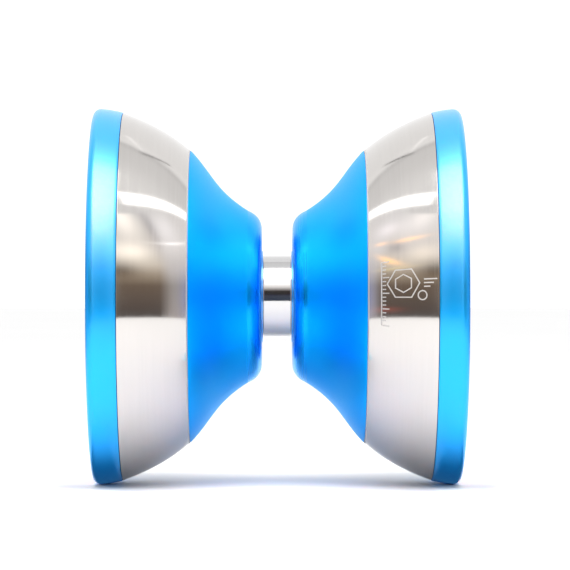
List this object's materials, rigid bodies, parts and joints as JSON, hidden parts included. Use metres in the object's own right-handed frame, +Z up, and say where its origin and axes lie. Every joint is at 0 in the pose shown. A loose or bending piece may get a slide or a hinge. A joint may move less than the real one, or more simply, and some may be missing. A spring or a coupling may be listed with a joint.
{
  "type": "yo-yo",
  "caption": "Wide winged yo-yo: cupped aluminium halves with steel rings and outer rims screw on to a short axle, either side of the ball bearing that its string loops round.",
  "frame": {"origin": "centre of the bearing, on the spin axis and midway between the halves", "axes": "+X along the spin axis towards the right-hand half, +Z up when it stands on its rims"},
  "size_m": [0.0556, 0.057, 0.057],
  "materials": {
    "blue_anodised": "bead-blasted and anodised blue, polished beside the string gap",
    "turned_steel": "fine-turned and polished",
    "bearing_steel": "ground and polished",
    "cage_steel": "stamped",
    "black_steel": "black oxide",
    "silicone": "matt"
  },
  "bodies": {
    "left_half": {"left_body": "blue_anodised", "left_steel_ring": "turned_steel", "left_rim": "blue_anodised", "left_response_pad": "silicone", "axle": "black_steel"},
    "inner_race": {"bearing_inner_race": "bearing_steel"},
    "right_half": {"right_body": "blue_anodised", "right_steel_ring": "turned_steel", "right_rim": "blue_anodised", "right_response_pad": "silicone"},
    "outer_race": {"bearing_outer_race": "bearing_steel", "left_bearing_shield": "bearing_steel", "right_bearing_shield": "bearing_steel", "left_shield_clip": "black_steel", "right_shield_clip": "black_steel"},
    "cage": {"bearing_cage": "cage_steel"},
    "ball_1": {"bearing_ball_1": "bearing_steel"},
    "ball_2": {"bearing_ball_2": "bearing_steel"},
    "ball_3": {"bearing_ball_3": "bearing_steel"},
    "ball_4": {"bearing_ball_4": "bearing_steel"},
    "ball_5": {"bearing_ball_5": "bearing_steel"},
    "ball_6": {"bearing_ball_6": "bearing_steel"},
    "ball_7": {"bearing_ball_7": "bearing_steel"},
    "ball_8": {"bearing_ball_8": "bearing_steel"}
  },
  "joints": [
    {"name": "halves_part", "type": "slide", "parent": "left_half", "child": "inner_race", "axis": [1, 0, 0], "range_m": [0, 0.0059]},
    {"name": "right_half_unscrew", "type": "hinge", "parent": "inner_race", "child": "right_half", "pos_m": [0, 0, 0], "axis": [1, 0, 0], "range_deg": [0, 3000]},
    {"name": "outer_race_spin", "type": "hinge", "parent": "inner_race", "child": "outer_race", "pos_m": [0, 0, 0], "axis": [1, 0, 0], "continuous": true},
    {"name": "cage_spin", "type": "hinge", "parent": "inner_race", "child": "cage", "pos_m": [0, 0, 0], "axis": [1, 0, 0], "continuous": true},
    {"name": "ball_1_spin", "type": "hinge", "parent": "cage", "child": "ball_1", "pos_m": [0, 0, 0.00476], "axis": [1, 0, 0], "continuous": true},
    {"name": "ball_2_spin", "type": "hinge", "parent": "cage", "child": "ball_2", "pos_m": [0, 0.00337, 0.00337], "axis": [1, 0, 0], "continuous": true},
    {"name": "ball_3_spin", "type": "hinge", "parent": "cage", "child": "ball_3", "pos_m": [0, 0.00476, 0], "axis": [1, 0, 0], "continuous": true},
    {"name": "ball_4_spin", "type": "hinge", "parent": "cage", "child": "ball_4", "pos_m": [0, 0.00337, -0.00337], "axis": [1, 0, 0], "continuous": true},
    {"name": "ball_5_spin", "type": "hinge", "parent": "cage", "child": "ball_5", "pos_m": [0, 0, -0.00476], "axis": [1, 0, 0], "continuous": true},
    {"name": "ball_6_spin", "type": "hinge", "parent": "cage", "child": "ball_6", "pos_m": [0, -0.00337, -0.00337], "axis": [1, 0, 0], "continuous": true},
    {"name": "ball_7_spin", "type": "hinge", "parent": "cage", "child": "ball_7", "pos_m": [0, -0.00476, 0], "axis": [1, 0, 0], "continuous": true},
    {"name": "ball_8_spin", "type": "hinge", "parent": "cage", "child": "ball_8", "pos_m": [0, -0.00337, 0.00337], "axis": [1, 0, 0], "continuous": true}
  ],
  "couplings": [
    {"joint": "halves_part", "follows": "right_half_unscrew", "m_per_rad": 0.00011141},
    {"joint": "cage_spin", "follows": "outer_race_spin", "ratio": 0.58336},
    {"joint": "ball_1_spin", "follows": "outer_race_spin", "ratio": 2.9157},
    {"joint": "ball_2_spin", "follows": "outer_race_spin", "ratio": 2.9157},
    {"joint": "ball_3_spin", "follows": "outer_race_spin", "ratio": 2.9157},
    {"joint": "ball_4_spin", "follows": "outer_race_spin", "ratio": 2.9157},
    {"joint": "ball_5_spin", "follows": "outer_race_spin", "ratio": 2.9157},
    {"joint": "ball_6_spin", "follows": "outer_race_spin", "ratio": 2.9157},
    {"joint": "ball_7_spin", "follows": "outer_race_spin", "ratio": 2.9157},
    {"joint": "ball_8_spin", "follows": "outer_race_spin", "ratio": 2.9157}
  ]
}
